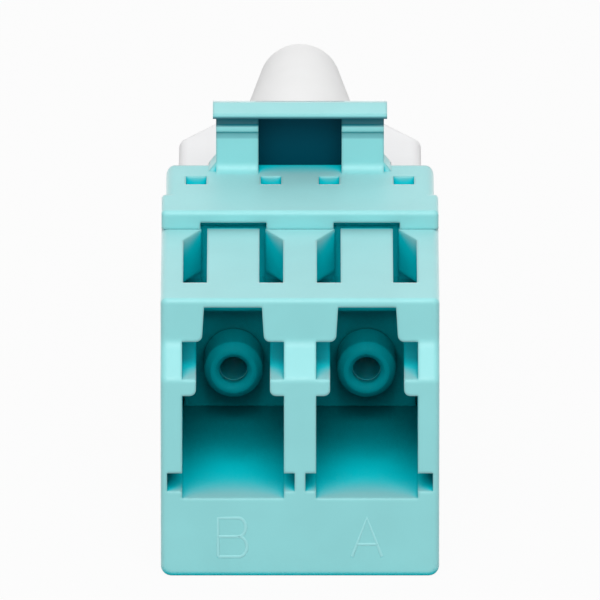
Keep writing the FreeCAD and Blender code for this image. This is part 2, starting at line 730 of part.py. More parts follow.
def boot():
    """The strain relief boot: a collar behind the cover's wall, and a sleeve that tapers at its end."""
    body = new_body("boot")
    turn(body, [
        ("boot_room_radius", "boot_collar_front"), ("boot_collar_radius", "boot_collar_front"),
        ("boot_collar_radius", "cover_chamber_rear"), ("cover_hole_radius", "cover_chamber_rear"),
        ("cover_hole_radius", "cover_rear"), ("boot_radius", "cover_rear"),
        ("boot_radius", "boot_taper_front"), ("boot_tip_radius", "boot_tip"),
        ("boot_cord_radius", "boot_tip"), ("boot_cord_radius", "boot_room_rear"),
        ("boot_room_radius", "boot_room_rear")])
    round_mouths(body, "round_boot_tip", "boot_tip", "boot_tip_radius")
    return body


def check_document():
    """Stop at a feature that failed, or at a piece whose shape can't be trusted."""
    for item in doc.Objects:
        if {"Invalid", "Error"} & set(item.State):
            raise RuntimeError(f"{item.Label} failed: {item.State}")


def write_parts(pieces):
    os.makedirs(EXPORT_FOLDER, exist_ok=True)
    for piece in pieces:
        shape = piece.Shape
        if shape.isNull() or not shape.isValid() or len(shape.Solids) != 1:
            raise RuntimeError(f"{piece.Label} is not one valid solid")
    for piece in pieces:
        piece.Shape.exportStep(os.path.join(EXPORT_FOLDER, f"{piece.Label}.step"))
        print(f"{piece.Label}: {piece.Shape.Volume:.2f} mm3")


def main():
    fill_sheet()
    pieces = [front_housing(), rear_housing(), sleeve_holder(), sleeve_retainer()]
    for side in SIDES:
        pieces += [
            split_sleeve(side), ferrule(side), ferrule_flange(side), ferrule_spring(side),
            ferrule_housing(side)]
    pieces += [backbone(), crimp_sleeve(), rear_cover(), boot()]
    doc.recompute()
    check_document()
    write_parts(pieces)


main()
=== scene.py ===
"""Finishes, port letters, springs, boot and studio for a duplex receptacle for LC plugs.

Everything is in metres in the part's own frame: the optical axes run along +Y into the ports, the
origin is between the port mouths, and +Z is up."""

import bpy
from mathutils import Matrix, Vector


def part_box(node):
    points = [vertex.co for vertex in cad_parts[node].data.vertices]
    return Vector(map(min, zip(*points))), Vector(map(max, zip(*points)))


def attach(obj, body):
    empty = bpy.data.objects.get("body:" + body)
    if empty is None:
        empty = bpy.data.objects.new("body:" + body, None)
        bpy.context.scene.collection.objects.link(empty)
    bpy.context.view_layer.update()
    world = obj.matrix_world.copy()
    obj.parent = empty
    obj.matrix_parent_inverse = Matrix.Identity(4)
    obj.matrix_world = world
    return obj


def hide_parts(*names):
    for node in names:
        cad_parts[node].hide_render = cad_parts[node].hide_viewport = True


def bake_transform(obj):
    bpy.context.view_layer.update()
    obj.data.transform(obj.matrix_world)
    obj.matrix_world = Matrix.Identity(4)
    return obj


bl_info = {
    "name": "Fibre receptacle finish",
    "version": (1, 0, 0),
    "blender": (4, 5, 0),
    "location": "View3D > Sidebar > Receptacle",
    "description": "Finishes the packed receptacle and sets it in a plain studio",
    "category": "Object",
}

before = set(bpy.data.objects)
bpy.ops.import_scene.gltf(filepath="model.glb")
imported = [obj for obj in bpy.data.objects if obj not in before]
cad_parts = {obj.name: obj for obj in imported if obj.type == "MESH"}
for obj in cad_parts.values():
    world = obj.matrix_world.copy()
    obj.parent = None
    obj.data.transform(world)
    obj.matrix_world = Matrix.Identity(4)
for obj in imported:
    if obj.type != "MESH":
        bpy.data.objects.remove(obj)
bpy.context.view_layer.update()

import math

import bpy
from bpy.props import FloatProperty, FloatVectorProperty, PointerProperty
from mathutils import Matrix, Vector

MM = 0.001
SIDES = ("left", "right")
PORT_LETTERS = {"left": "B", "right": "A"}


# ---- the frame's own places ----------------------------------------------------------------------

def axis_x(side):
    """Where the optical axis of one port runs, read from its ferrule."""
    low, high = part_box(f"{side}_ferrule")
    return (low.x + high.x) / 2


def rest_height():
    """Height of the face that the part rests on."""
    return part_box("front_housing")[0].z


# ---- colours -------------------------------------------------------------------------------------

def linear(hex_colour):
    """Turn an sRGB hex colour into the linear colour that the nodes take."""
    parts = [int(hex_colour[start:start + 2], 16) / 255 for start in (1, 3, 5)]
    return tuple(
        part / 12.92 if part <= 0.04045 else ((part + 0.055) / 1.055) ** 2.4 for part in parts)


def colour(name, description, hex_colour):
    """A colour setting."""
    return FloatVectorProperty(
        name=name, description=description, subtype="COLOR", size=3, min=0, max=1,
        default=linear(hex_colour))


def length(name, description, millimetres):
    """A length setting, given in millimetres and kept in metres."""
    return FloatProperty(
        name=name, description=description, subtype="DISTANCE", unit="LENGTH", min=0, precision=6,
        default=millimetres * MM)


def angle(name, description, degrees):
    """An angle setting, given in degrees and kept in radians."""
    return FloatProperty(
        name=name, description=description, subtype="ANGLE", unit="ROTATION",
        default=math.radians(degrees))


def share(name, description, default):
    """A setting from zero to one."""
    return FloatProperty(
        name=name, description=description, subtype="FACTOR", min=0, max=1, default=default)


def power(name, description, watts):
    """A lamp's power setting."""
    return FloatProperty(name=name, description=description, unit="POWER", min=0, default=watts)


# ---- settings that a user would change -----------------------------------------------------------

class ReceptacleFinish(bpy.types.PropertyGroup):
    housing: colour("Housing", "Aqua of the moulded housings where light falls on it", "#8ad2d4")
    # painted shade: recess and depth are mixed in where ambient occlusion finds facing walls
    recess: colour(
        "Recess", "Deeper aqua inside the ports, where light has gone through more plastic",
        "#00d0da")
    depth: colour("Depth", "Dark teal of the deepest corners", "#00767e")
    # painted shade: the dark colour of the clip's mouth and of its posts under the bar and ribs
    mouth: colour("Clip mouth", "Dark blue-green at the back of the clip's mouth", "#00566a")
    # the letters are drawn a lighter aqua than the housing
    letter: colour("Letter", "Aqua of the raised letters, whose faces are polished", "#9adadc")
    cover: colour("Cover", "White of the rear cover", "#e9e9ea")
    boot: colour("Boot", "White of the strain relief boot", "#eeeeee")
    edge_radius: length("Edge radius", "Radius that the mould leaves on sharp edges", 0.22)
    barrel_edge_radius: length("Barrel edge radius", "Radius on the sleeve barrels' edges", 0.35)
    # painted shade: how far ambient occlusion looks for the walls that darken the recesses
    recess_reach: length("Recess reach", "How near facing walls deepen the aqua", 12.0)
    # painted sheen in place of the pale reflection of faces seen at a flat angle
    painted_sheen: share("Bloom", "Strength of the pale bloom on faces seen at a flat angle", 0.8)
    # painted light: lifts the recess colour in the latch windows and on the sleeve barrels
    window_light: share("Window light", "Light that comes through the latch windows' walls", 0.95)
    barrel_light: share("Barrel light", "Light that comes through the sleeve barrels", 0.6)
    mouth_dark: share("Mouth shade strength", "How dark the back of the clip's mouth is", 1.0)
    bar_dark: share("Bar shade strength", "How dark the posts are under the clip's bar", 0.8)
    rib_dark: share("Rib shade strength", "How dark the posts are under the clip's ribs", 0.35)


class ReceptacleDetail(bpy.types.PropertyGroup):
    # painted light: the next two settings bound the boxes where the recess colour is lifted
    window_sill: length(
        "Window sill", "Height above which light comes through the latch windows' walls", 4.2)
    barrel_lit: length("Lit barrel", "Length of the sleeve barrels that light comes through", 2.0)
    mouth_width: length("Mouth shade width", "Width of the shade in the clip's mouth", 4.1)
    mouth_height: length("Mouth shade height", "Height of the shade in the clip's mouth", 4.5)
    mouth_depth: length("Mouth shade depth", "Depth of the shade in the clip's mouth", 1.2)
    mouth_back: length("Mouth back", "From the back of the clip to the shade in its mouth", 0.3)
    shade_top: length(
        "Shade top", "From the top of the clip to the shades in its mouth and under its bar", 0.35)
    post_width: length("Post shade width", "Width of the shades under the clip's bar and ribs", 8.3)
    post_depth: length("Post shade depth", "Depth of the shades under the clip's bar and ribs", 0.7)
    post_back: length(
        "Post back", "From the back of the clip to the shades under its bar and ribs", 2.25)
    bar_shade: length("Bar shade", "Height of the shade under the clip's bar", 0.5)
    rib_drop: length("Rib drop", "From the top of the clip to the shade under its ribs", 1.22)
    rib_shade: length("Rib shade", "Height of the shade under the clip's ribs", 0.28)
    letter_height: length("Letter height", "Height of the raised port letters", 1.94)
    letter_width: length("Letter width", "Width of the raised port letters", 1.4)
    letter_stroke: length("Letter stroke", "Width of a letter's raised line", 0.15)
    letter_rise: length("Letter rise", "How far a letter stands off the face", 0.015)
    letter_drop: length("Letter drop", "How far a letter's middle is under the optical axes", 4.5)
    boot_radius: length("Boot radius", "Radius of the boot's straight part", 2.88)
    boot_tip_radius: length("Boot tip radius", "Radius of the boot's end before its rounding", 1.97)
    boot_taper: length("Boot taper", "Length of the boot's tapered end", 8.3)
    boot_rounding: length("Boot rounding", "Radius of the rounding at the boot's end", 0.95)
    boot_bore: length("Boot bore", "Radius of the cord hole", 0.85)
    boot_bore_rounding: length("Boot bore rounding", "Radius of the rounding at the cord hole", 0.1)
    boot_collar: length("Boot collar", "Thickness of the collar behind the cover's wall", 1.0)
    boot_neck: length("Boot neck", "Radius of the boot where it passes the cover's wall", 2.6)
    boot_room: length("Boot room", "Radius of the room for the crimp sleeve", 2.05)
    boot_room_clearance: length(
        "Boot room clearance", "How far the room goes past the crimp post", 0.4)
    spring_turns: FloatProperty(
        name="Spring turns", description="Turns of each ferrule spring", default=5.5, min=1)
    spring_wire: length("Spring wire", "Radius of the spring wire", 0.11)


class ReceptacleStudio(bpy.types.PropertyGroup):
    elevation: angle("Elevation", "Camera height above the level of the optical axes", 20.5)
    distance: length("Distance", "Distance of the camera", 1200)
    view_width: length("View width", "Width that the camera sees at the part", 28.4)
    aim_depth: length("Aim depth", "Depth behind the port mouths that the camera is aimed at", 19.6)
    floor_width: length("Floor width", "Width of the floor", 3000)
    floor_whiteness: share("Floor whiteness", "Share of plain white in the look of the floor", 0.95)
    key: power("Key lamp", "Power of the large lamp above the front", 1.75)
    key_height: angle("Key height", "Height of the key lamp above the level of the ports", 46)
    rear: power("Rear lamp", "Power of the large lamp above the boot", 0.42)
    rear_height: angle("Rear height", "Height of the rear lamp above the level of the ports", 60)
    lamp_distance: length("Lamp distance", "Distance of the lamps", 450)
    lamp_size: length("Lamp size", "Width of the lamps", 400)
    ambient: share("Ambient", "Strength of the light from all round", 0.38)


class ReceptacleSettings(bpy.types.PropertyGroup):
    finish: PointerProperty(type=ReceptacleFinish, name="Finish", description="Colours and edges")
    detail: PointerProperty(
        type=ReceptacleDetail, name="Detail",
        description="Lit and shaded boxes, letters, boot and springs")
    studio: PointerProperty(type=ReceptacleStudio, name="Studio", description="Camera and lamps")


# ---- building blocks -----------------------------------------------------------------------------

def add_node(tree, kind, inputs=None, **settings):
    """Add a node to a tree, with its settings, and with values or links on its inputs."""
    node = tree.nodes.new(kind)
    for name, setting in settings.items():
        setattr(node, name, setting)
    for key, given in (inputs or {}).items():
        if isinstance(given, bpy.types.NodeSocket):
            tree.links.new(given, node.inputs[key])
        else:
            node.inputs[key].default_value = given
    return node


def new_material(name):
    material = bpy.data.materials.new(name)
    material.use_nodes = True
    material.node_tree.nodes.clear()
    return material


def finish_material(material, shader):
    add_node(material.node_tree, "ShaderNodeOutputMaterial", {"Surface": shader.outputs[0]})
    return material


def rgba(colour_value):
    return (*colour_value, 1.0)


def new_piece(name, data):
    piece = bpy.data.objects.new(name, data)
    bpy.context.scene.collection.objects.link(piece)
    return piece


def dress(node, material):
    """Give a node of the frame a material in place of its plain one."""
    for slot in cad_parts[node].material_slots:
        slot.material = material


def applied(piece):
    """Turn a piece's modifiers into plain mesh, so that it holds no live modifier."""
    bpy.context.view_layer.update()
    graph = bpy.context.evaluated_depsgraph_get()
    mesh = bpy.data.meshes.new_from_object(piece.evaluated_get(graph), depsgraph=graph)
    name = piece.name
    bpy.data.objects.remove(piece)
    mesh.name = name
    return new_piece(name, mesh)


def node_group(name, inputs):
    """Start a geometry tree with named inputs, each a (name, socket type) pair."""
    tree = bpy.data.node_groups.new(name, "GeometryNodeTree")
    tree.interface.new_socket("Geometry", in_out="INPUT", socket_type="NodeSocketGeometry")
    for label, kind in inputs:
        tree.interface.new_socket(label, in_out="INPUT", socket_type=kind)
    tree.interface.new_socket("Geometry", in_out="OUTPUT", socket_type="NodeSocketGeometry")
    return tree


def run_tree(piece, tree, values):
    """Put a geometry tree on a piece, with values for its named inputs, and apply it."""
    modifier = piece.modifiers.new(tree.name, "NODES")
    modifier.node_group = tree
    sockets = {item.name: item.identifier for item in tree.interface.items_tree
               if item.item_type == "SOCKET" and item.in_out == "INPUT"}
    for label, given in values.items():
        modifier[sockets[label]] = given
    return applied(piece)


# ---- finishes ------------------------------------------------------------------------------------

# the middle of a noise's values, where nearly all of them lie
MID_NOISE = (0.3, 0.7)
# how open a spot is, by ambient occlusion, where painted shade turns the plastic from its
# deepest colour to a recess's, and from that to a face's own
DEPTH_TO_RECESS = (0.02, 0.14)
RECESS_TO_FACE = (0.27, 0.5)
# how open a spot is where painted shade turns the ceramic from the barrel's aqua to its own
BARREL_TO_OPEN = (0.1, 0.4)
# height of a mould's grain, and of the rings that turning leaves
GRAIN_DEPTH = 0.01 * MM
TURNING_DEPTH = 0.005 * MM
# how far a box of painted shade or painted light fades out past its edges
BOX_FADE = 0.1 * MM
# angle that the wave texture runs through over one unit at a scale of one, in radians
WAVE_ANGLE = 20


def remap(tree, value, source=(0, 1), target=(0, 1)):
    """Take a value from one range to another and hold it inside the second."""
    return add_node(tree, "ShaderNodeMapRange", {
        "Value": value, "From Min": source[0], "From Max": source[1],
        "To Min": target[0], "To Max": target[1]}).outputs["Result"]


def combined(tree, operation, first, second, **settings):
    """One number out of two."""
    return add_node(
        tree, "ShaderNodeMath", {0: first, 1: second}, operation=operation, **settings).outputs[0]


def mixed(tree, amount, first, second, blend="MIX"):
    """Mix some of the second colour into the first, or multiply it in."""
    return add_node(
        tree, "ShaderNodeMix", {0: amount, 6: first, 7: second}, data_type="RGBA",
        blend_type=blend).outputs[2]


def mottle(tree, place, size, detail=3.0):
    """Soft random patches of about one size."""
    return add_node(tree, "ShaderNodeTexNoise", {
        "Vector": place, "Scale": 1 / size, "Detail": detail}).outputs[0]


def rings(tree, place, size, distortion):
    """Fine rings about the Y axis, about six sizes apart, as turning or grinding leaves them."""
    return add_node(tree, "ShaderNodeTexWave", {
        "Vector": place, "Scale": 1 / (WAVE_ANGLE * size), "Distortion": distortion,
        "Detail": 2.0}, bands_direction="Y").outputs[1]


def openness(tree, samples):
    """How much of its surroundings a spot sees within the recess reach, from zero to one."""
    reach = bpy.context.scene.receptacle.finish.recess_reach
    return add_node(
        tree, "ShaderNodeAmbientOcclusion", {"Distance": reach}, samples=samples).outputs["AO"]


def grained(tree, grain, strength, edge_radius):
    """Surface direction with rounded edges and the fine grain of the tool."""
    edge = add_node(tree, "ShaderNodeBevel", {"Radius": edge_radius}, samples=6)
    return add_node(tree, "ShaderNodeBump", {
        "Strength": strength, "Distance": GRAIN_DEPTH, "Height": grain,
        "Normal": edge.outputs[0]}).outputs[0]


def within(tree, place, low, high, amount):
    """An amount inside a box of the part, fading to zero over a short way outside it."""
    off = add_node(
        tree, "ShaderNodeVectorMath", {0: place, 1: (low + high) / 2}, operation="SUBTRACT")
    size = add_node(tree, "ShaderNodeVectorMath", {0: off.outputs[0]}, operation="ABSOLUTE")
    beyond = add_node(
        tree, "ShaderNodeVectorMath", {0: size.outputs[0], 1: (high - low) / 2},
        operation="SUBTRACT")
    sides = add_node(tree, "ShaderNodeSeparateXYZ", {0: beyond.outputs[0]}).outputs
    farthest = combined(tree, "MAXIMUM", combined(tree, "MAXIMUM", sides[0], sides[1]), sides[2])
    return remap(tree, farthest, (0, BOX_FADE), (amount, 0))


def moulded_aqua(name, edge_radius, shades=(), painted_light_boxes=()):
    """PBT moulded in a smooth tool: a soft gloss, a faint flow mottle, and rounded edges.

    Recesses get painted shade from ambient occlusion. Each shade is a box of painted shade, by
    its low and high corners, and how far the plastic darkens inside it. Each painted light box is
    a box too, and how much painted light lifts the colour of its recesses."""
    finish = bpy.context.scene.receptacle.finish
    material = new_material(name)
    tree = material.node_tree
    place = add_node(tree, "ShaderNodeTexCoord").outputs["Object"]
    # painted shade: the aqua is mixed towards the recess and depth colours
    # where ambient occlusion finds facing walls
    opened = openness(tree, samples=32)
    recess = remap(tree, opened, DEPTH_TO_RECESS)
    # painted light: in each box the depth colour is lifted towards the recess colour
    for low, high, light in painted_light_boxes:
        recess = combined(tree, "MAXIMUM", recess, within(tree, place, low, high, light))
    inner = mixed(tree, recess, rgba(finish.depth), rgba(finish.recess))
    surface = remap(tree, opened, RECESS_TO_FACE)
    aqua = mixed(tree, surface, inner, rgba(finish.housing))
    # painted shade: in each box the aqua turns to the mouth colour and loses its gloss and sheen
    for low, high, dark in shades:
        hidden = within(tree, place, low, high, dark)
        aqua = mixed(tree, hidden, aqua, rgba(finish.mouth))
        surface = combined(tree, "SUBTRACT", surface, hidden, use_clamp=True)
    # flow marks of the melt
    flow = remap(tree, mottle(tree, place, 3 * MM, detail=2.0), MID_NOISE, (0.97, 1.03))
    base = mixed(tree, 1.0, aqua, flow, "MULTIPLY")
    # texture of the tool's steel, drawn a little large so that it shows
    grain = mottle(tree, place, 0.12 * MM)
    roughness = remap(tree, grain, MID_NOISE, (0.38, 0.5))
    # painted shade on the gloss: reflection is turned down where ambient occlusion finds a recess
    gloss = remap(tree, surface, target=(0.05, 0.5))
    # painted sheen stands in for the pale reflection of open faces seen at a flat angle;
    # painted shade takes it away in the recesses
    painted_sheen = combined(tree, "MULTIPLY", surface, finish.painted_sheen)
    shader = add_node(tree, "ShaderNodeBsdfPrincipled", {
        "Base Color": base, "Roughness": roughness, "IOR": 1.55, "Specular IOR Level": gloss,
        "Sheen Weight": painted_sheen, "Sheen Roughness": 0.4,
        "Normal": grained(tree, grain, 0.06, edge_radius)})
    return finish_material(material, shader)


def plain_plastic(name, base_colour, roughness, grain_size, edge_radius=0.1 * MM):
    """Moulded plastic of one colour: faint flow marks and the fine grain of its tool."""
    material = new_material(name)
    tree = material.node_tree
    place = add_node(tree, "ShaderNodeTexCoord").outputs["Object"]
    flow = remap(tree, mottle(tree, place, 4 * MM, detail=2.0), MID_NOISE, (0.97, 1.0))
    base = mixed(tree, 1.0, rgba(base_colour), flow, "MULTIPLY")
    grain = mottle(tree, place, grain_size)
    spread = remap(tree, grain, MID_NOISE, (roughness - 0.06, roughness + 0.06))
    shader = add_node(tree, "ShaderNodeBsdfPrincipled", {
        "Base Color": base, "Roughness": spread, "IOR": 1.5,
        "Normal": grained(tree, grain, 0.08, edge_radius)})
    return finish_material(material, shader)


def turned_metal(name, base_colour, roughness, ring_size):
    """Metal turned or drawn about the Y axis: fine rings along its length, a little uneven."""
    material = new_material(name)
    tree = material.node_tree
    place = add_node(tree, "ShaderNodeTexCoord").outputs["Object"]
    marks = rings(tree, place, ring_size, distortion=1.5)
    tarnish = remap(tree, mottle(tree, place, 1.5 * MM), MID_NOISE, (0.9, 1.0))
    base = mixed(tree, 1.0, rgba(base_colour), tarnish, "MULTIPLY")
    spread = remap(tree, marks, target=(roughness - 0.05, roughness + 0.08))
    bump = add_node(
        tree, "ShaderNodeBump", {"Strength": 0.15, "Distance": TURNING_DEPTH, "Height": marks})
    shader = add_node(tree, "ShaderNodeBsdfPrincipled", {
        "Base Color": base, "Metallic": 1.0, "Roughness": spread, "Normal": bump.outputs[0]})
    return finish_material(material, shader)


def polished_zirconia():
    """Ground and polished zirconia ceramic: ivory white, glossy, a little cloudy inside."""
    material = new_material("polished_zirconia")
    tree = material.node_tree
    place = add_node(tree, "ShaderNodeTexCoord").outputs["Object"]
    cloud = mottle(tree, place, 0.8 * MM)
    ivory = mixed(tree, cloud, rgba(linear("#efe9db")), rgba(linear("#f8f5ec")))
    # painted shade: deep in a barrel, where ambient occlusion finds it closed in, the ceramic
    # is mixed towards the recess aqua of the plastic round it
    opened = remap(tree, openness(tree, samples=6), BARREL_TO_OPEN)
    base = mixed(tree, opened, rgba(bpy.context.scene.receptacle.finish.recess), ivory)
    # fine grinding marks round the ferrules and sleeves
    marks = rings(tree, place, 0.05 * MM, distortion=0.8)
    shader = add_node(tree, "ShaderNodeBsdfPrincipled", {
        "Base Color": base, "Roughness": remap(tree, marks, target=(0.12, 0.2)), "IOR": 2.15,
        "Subsurface Weight": 0.15, "Subsurface Scale": 0.3 * MM})
    return finish_material(material, shader)


# ---- the pieces ----------------------------------------------------------------------------------

def clip_shades():
    """Shaded boxes of the clip: its mouth, and the posts' faces under its bar and its ribs."""
    finish = bpy.context.scene.receptacle.finish
    detail = bpy.context.scene.receptacle.detail
    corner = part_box("rear_housing")[1]

    def shade(width, depth, height, from_back, from_top, dark):
        high = Vector((width / 2, corner.y - from_back, corner.z - from_top))
        return high - Vector((width, depth, height)), high, dark

    return [
        shade(detail.mouth_width, detail.mouth_depth, detail.mouth_height,
              detail.mouth_back, detail.shade_top, finish.mouth_dark),
        shade(detail.post_width, detail.post_depth, detail.bar_shade,
              detail.post_back, detail.shade_top, finish.bar_dark),
        shade(detail.post_width, detail.post_depth, detail.rib_shade,
              detail.post_back, detail.rib_drop, finish.rib_dark)]


class RECEPTACLE_OT_housings(bpy.types.Operator):
    """Finish the aqua housings and the sleeve holder as moulded plastic"""
    bl_idname = "receptacle.housings"
    bl_label = "Finish housings"

    def execute(self, context):
        finish = context.scene.receptacle.finish
        detail = context.scene.receptacle.detail
        low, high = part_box("front_housing")
        # painted light in the latch windows above the sill
        windows = (Vector((low.x, low.y, detail.window_sill)), high, finish.window_light)
        dress("front_housing", moulded_aqua(
            "moulded_aqua_pbt", finish.edge_radius, painted_light_boxes=[windows]))
        dress("rear_housing", moulded_aqua(
            "moulded_aqua_collar_pbt", finish.edge_radius, shades=clip_shades()))
        low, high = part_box("sleeve_holder")
        # painted light on the front length of the sleeve barrels
        barrels = (low, Vector((high.x, low.y + detail.barrel_lit, high.z)), finish.barrel_light)
        holder = moulded_aqua(
            "moulded_aqua_holder_pbt", finish.barrel_edge_radius, painted_light_boxes=[barrels])
        dress("sleeve_holder", holder)
        dress("sleeve_retainer", holder)
        return {"FINISHED"}


class RECEPTACLE_OT_cover(bpy.types.Operator):
    """Finish the rear cover as white moulded plastic"""
    bl_idname = "receptacle.cover"
    bl_label = "Finish rear cover"

    def execute(self, context):
        finish = context.scene.receptacle.finish
        dress("rear_cover", plain_plastic(
            "moulded_white_abs", finish.cover, roughness=0.42, grain_size=0.15 * MM))
        return {"FINISHED"}


class RECEPTACLE_OT_inner_parts(bpy.types.Operator):
    """Finish the ferrules, sleeves, flanges and the parts behind them"""
    bl_idname = "receptacle.inner_parts"
    bl_label = "Finish inner parts"

    def execute(self, context):
        zirconia = polished_zirconia()
        nickel = turned_metal(
            "turned_nickel_plated_brass", linear("#cfcbc0"), roughness=0.28, ring_size=0.04 * MM)
        crimp = turned_metal(
            "drawn_nickel_plated_tube", linear("#d4cdb6"), roughness=0.34, ring_size=0.08 * MM)
        black = plain_plastic(
            "moulded_black_pbt", linear("#202124"), roughness=0.45, grain_size=0.12 * MM)
        for side in SIDES:
            dress(f"{side}_ferrule", zirconia)
            dress(f"{side}_split_sleeve", zirconia)
            dress(f"{side}_ferrule_flange", nickel)
            dress(f"{side}_ferrule_housing", black)
        dress("backbone", black)
        dress("crimp_sleeve", crimp)
        return {"FINISHED"}


def coil_tree(material):
    """A coil of round wire along +Z with closed caps."""
    tree = node_group("coil_spring", [
        ("Turns", "NodeSocketFloat"), ("Coil radius", "NodeSocketFloat"),
        ("Wire radius", "NodeSocketFloat"), ("Length", "NodeSocketFloat")])
    given = add_node(tree, "NodeGroupInput").outputs
    path = add_node(
        tree, "GeometryNodeCurveSpiral",
        {"Resolution": 36, "Rotations": given["Turns"], "Start Radius": given["Coil radius"],
         "End Radius": given["Coil radius"], "Height": given["Length"]})
    wire = add_node(tree, "GeometryNodeCurvePrimitiveCircle", {
        "Resolution": 12, "Radius": given["Wire radius"]})
    swept = add_node(
        tree, "GeometryNodeCurveToMesh",
        {"Curve": path.outputs[0], "Profile Curve": wire.outputs[0], "Fill Caps": True})
    smooth = add_node(tree, "GeometryNodeSetShadeSmooth", {"Geometry": swept.outputs[0]})
    real = add_node(tree, "GeometryNodeRealizeInstances", {"Geometry": smooth.outputs[0]})
    coloured = add_node(
        tree, "GeometryNodeSetMaterial", {"Geometry": real.outputs[0], "Material": material})
    add_node(tree, "NodeGroupOutput", {"Geometry": coloured.outputs[0]})
    return tree


class RECEPTACLE_OT_springs(bpy.types.Operator):
    """Wind the two ferrule springs from round wire"""
    bl_idname = "receptacle.springs"
    bl_label = "Wind springs"

    def execute(self, context):
        detail = context.scene.receptacle.detail
        steel = turned_metal(
            "drawn_spring_steel", linear("#b9babd"), roughness=0.25, ring_size=0.03 * MM)
        tree = coil_tree(steel)
        for side in SIDES:
            low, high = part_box(f"{side}_ferrule_spring")
            reach = high.y - low.y - 2 * detail.spring_wire
            start = new_piece(f"{side}_spring_coil", bpy.data.meshes.new(f"{side}_spring_coil"))
            coil = run_tree(start, tree, {
                "Turns": detail.spring_turns, "Length": reach, "Wire radius": detail.spring_wire,
                "Coil radius": (high.x - low.x) / 2 - detail.spring_wire})
            along_port = Matrix.Translation((axis_x(side), low.y + detail.spring_wire, 0))
            coil.data.transform(along_port @ Matrix.Rotation(math.radians(-90), 4, "X"))
            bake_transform(coil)
            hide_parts(f"{side}_ferrule_spring")
        return {"FINISHED"}


def arc(centre, radius, start, end, steps):
    """Points along an arc, its angles in degrees."""
    turns = (math.radians(start + (end - start) * step / steps) for step in range(steps + 1))
    return [
        (centre[0] + radius * math.cos(turn), centre[1] + radius * math.sin(turn))
        for turn in turns]


def letter_strokes(letter):
    """Strokes of a letter in a box one wide and one high, from its lower left corner."""
    if letter == "A":
        return [[(0, 0), (0.5, 1), (1, 0)], [(0.16, 0.32), (0.84, 0.32)]]
    lower = arc((0.7, 0.26), 0.26, -90, 90, 10)
    upper = arc((0.68, 0.76), 0.24, -90, 90, 10)
    return [[(0, 0), *lower, (0, 0.52)], [*upper, (0, 1), (0, 0)]]


def stroke_tree(material):
    """Flat raised lines with rounded ends along the curves that come in."""
    tree = node_group("raised_stroke", [
        ("Stroke width", "NodeSocketFloat"), ("Rise", "NodeSocketFloat")])
    given = add_node(tree, "NodeGroupInput").outputs
    half = combined(tree, "MULTIPLY", given["Stroke width"], 0.5)
    rod = add_node(
        tree, "GeometryNodeCurvePrimitiveCircle", {"Resolution": 10, "Radius": half})
    swept = add_node(
        tree, "GeometryNodeCurveToMesh",
        {"Curve": given["Geometry"], "Profile Curve": rod.outputs[0], "Fill Caps": True})
    # the rod's lower half sinks into the face, so only its upper half rises
    squash = add_node(tree, "ShaderNodeCombineXYZ", {
        0: 1.0, 1: 1.0, 2: combined(tree, "DIVIDE", given["Rise"], half)})
    flat = add_node(
        tree, "GeometryNodeTransform", {"Geometry": swept.outputs[0], "Scale": squash.outputs[0]})
    smooth = add_node(tree, "GeometryNodeSetShadeSmooth", {"Geometry": flat.outputs[0]})
    real = add_node(tree, "GeometryNodeRealizeInstances", {"Geometry": smooth.outputs[0]})
    coloured = add_node(
        tree, "GeometryNodeSetMaterial", {"Geometry": real.outputs[0], "Material": material})
    add_node(tree, "NodeGroupOutput", {"Geometry": coloured.outputs[0]})
    return tree


class RECEPTACLE_OT_letters(bpy.types.Operator):
    """Raise a generic letter under each port"""
    bl_idname = "receptacle.letters"
    bl_label = "Raise port letters"

    def execute(self, context):
        detail = context.scene.receptacle.detail
        # a lighter aqua than the housing, for the letters
        polished = plain_plastic(
            "pale_aqua_pbt", context.scene.receptacle.finish.letter, roughness=0.5,
            grain_size=0.12 * MM, edge_radius=0.01 * MM)
        tree = stroke_tree(polished)
        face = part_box("front_housing")[0].y
        for side, letter in PORT_LETTERS.items():
            lines = bpy.data.curves.new(f"{side}_port_letter", "CURVE")
            lines.dimensions = "3D"
            for stroke in letter_strokes(letter):
                spline = lines.splines.new("POLY")
                spline.points.add(len(stroke) - 1)
                for point, (across, up) in zip(spline.points, stroke):
                    x = (across - 0.5) * detail.letter_width
                    y = (up - 0.5) * detail.letter_height
                    point.co = (x, y, 0, 1)
            raised = run_tree(new_piece(f"{side}_port_letter", lines), tree, {
                "Stroke width": detail.letter_stroke, "Rise": detail.letter_rise})
            place = Matrix.Translation((axis_x(side), face, -detail.letter_drop))
            raised.data.transform(place @ Matrix.Rotation(math.radians(90), 4, "X"))
            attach(raised, "shell")
        return {"FINISHED"}


def turned(name, outline, steps=96):
    """Turn a closed outline of (radius, depth) points, the solid on its left, about the Y axis."""
    count = len(outline)
    points, faces = [], []
    for step in range(steps):
        turn = math.tau * step / steps
        points += [
            (radius * math.cos(turn), depth, radius * math.sin(turn)) for radius, depth in outline]
        near, far = step * count, (step + 1) % steps * count
        faces += [
            (near + spot, near + after, far + after, far + spot)
            for spot, after in zip(range(count), [*range(1, count), 0])]
    mesh = bpy.data.meshes.new(name)
    mesh.from_pydata(points, [], faces)
    mesh.shade_smooth()
    mesh.set_sharp_from_angle(angle=math.radians(35))
    return mesh


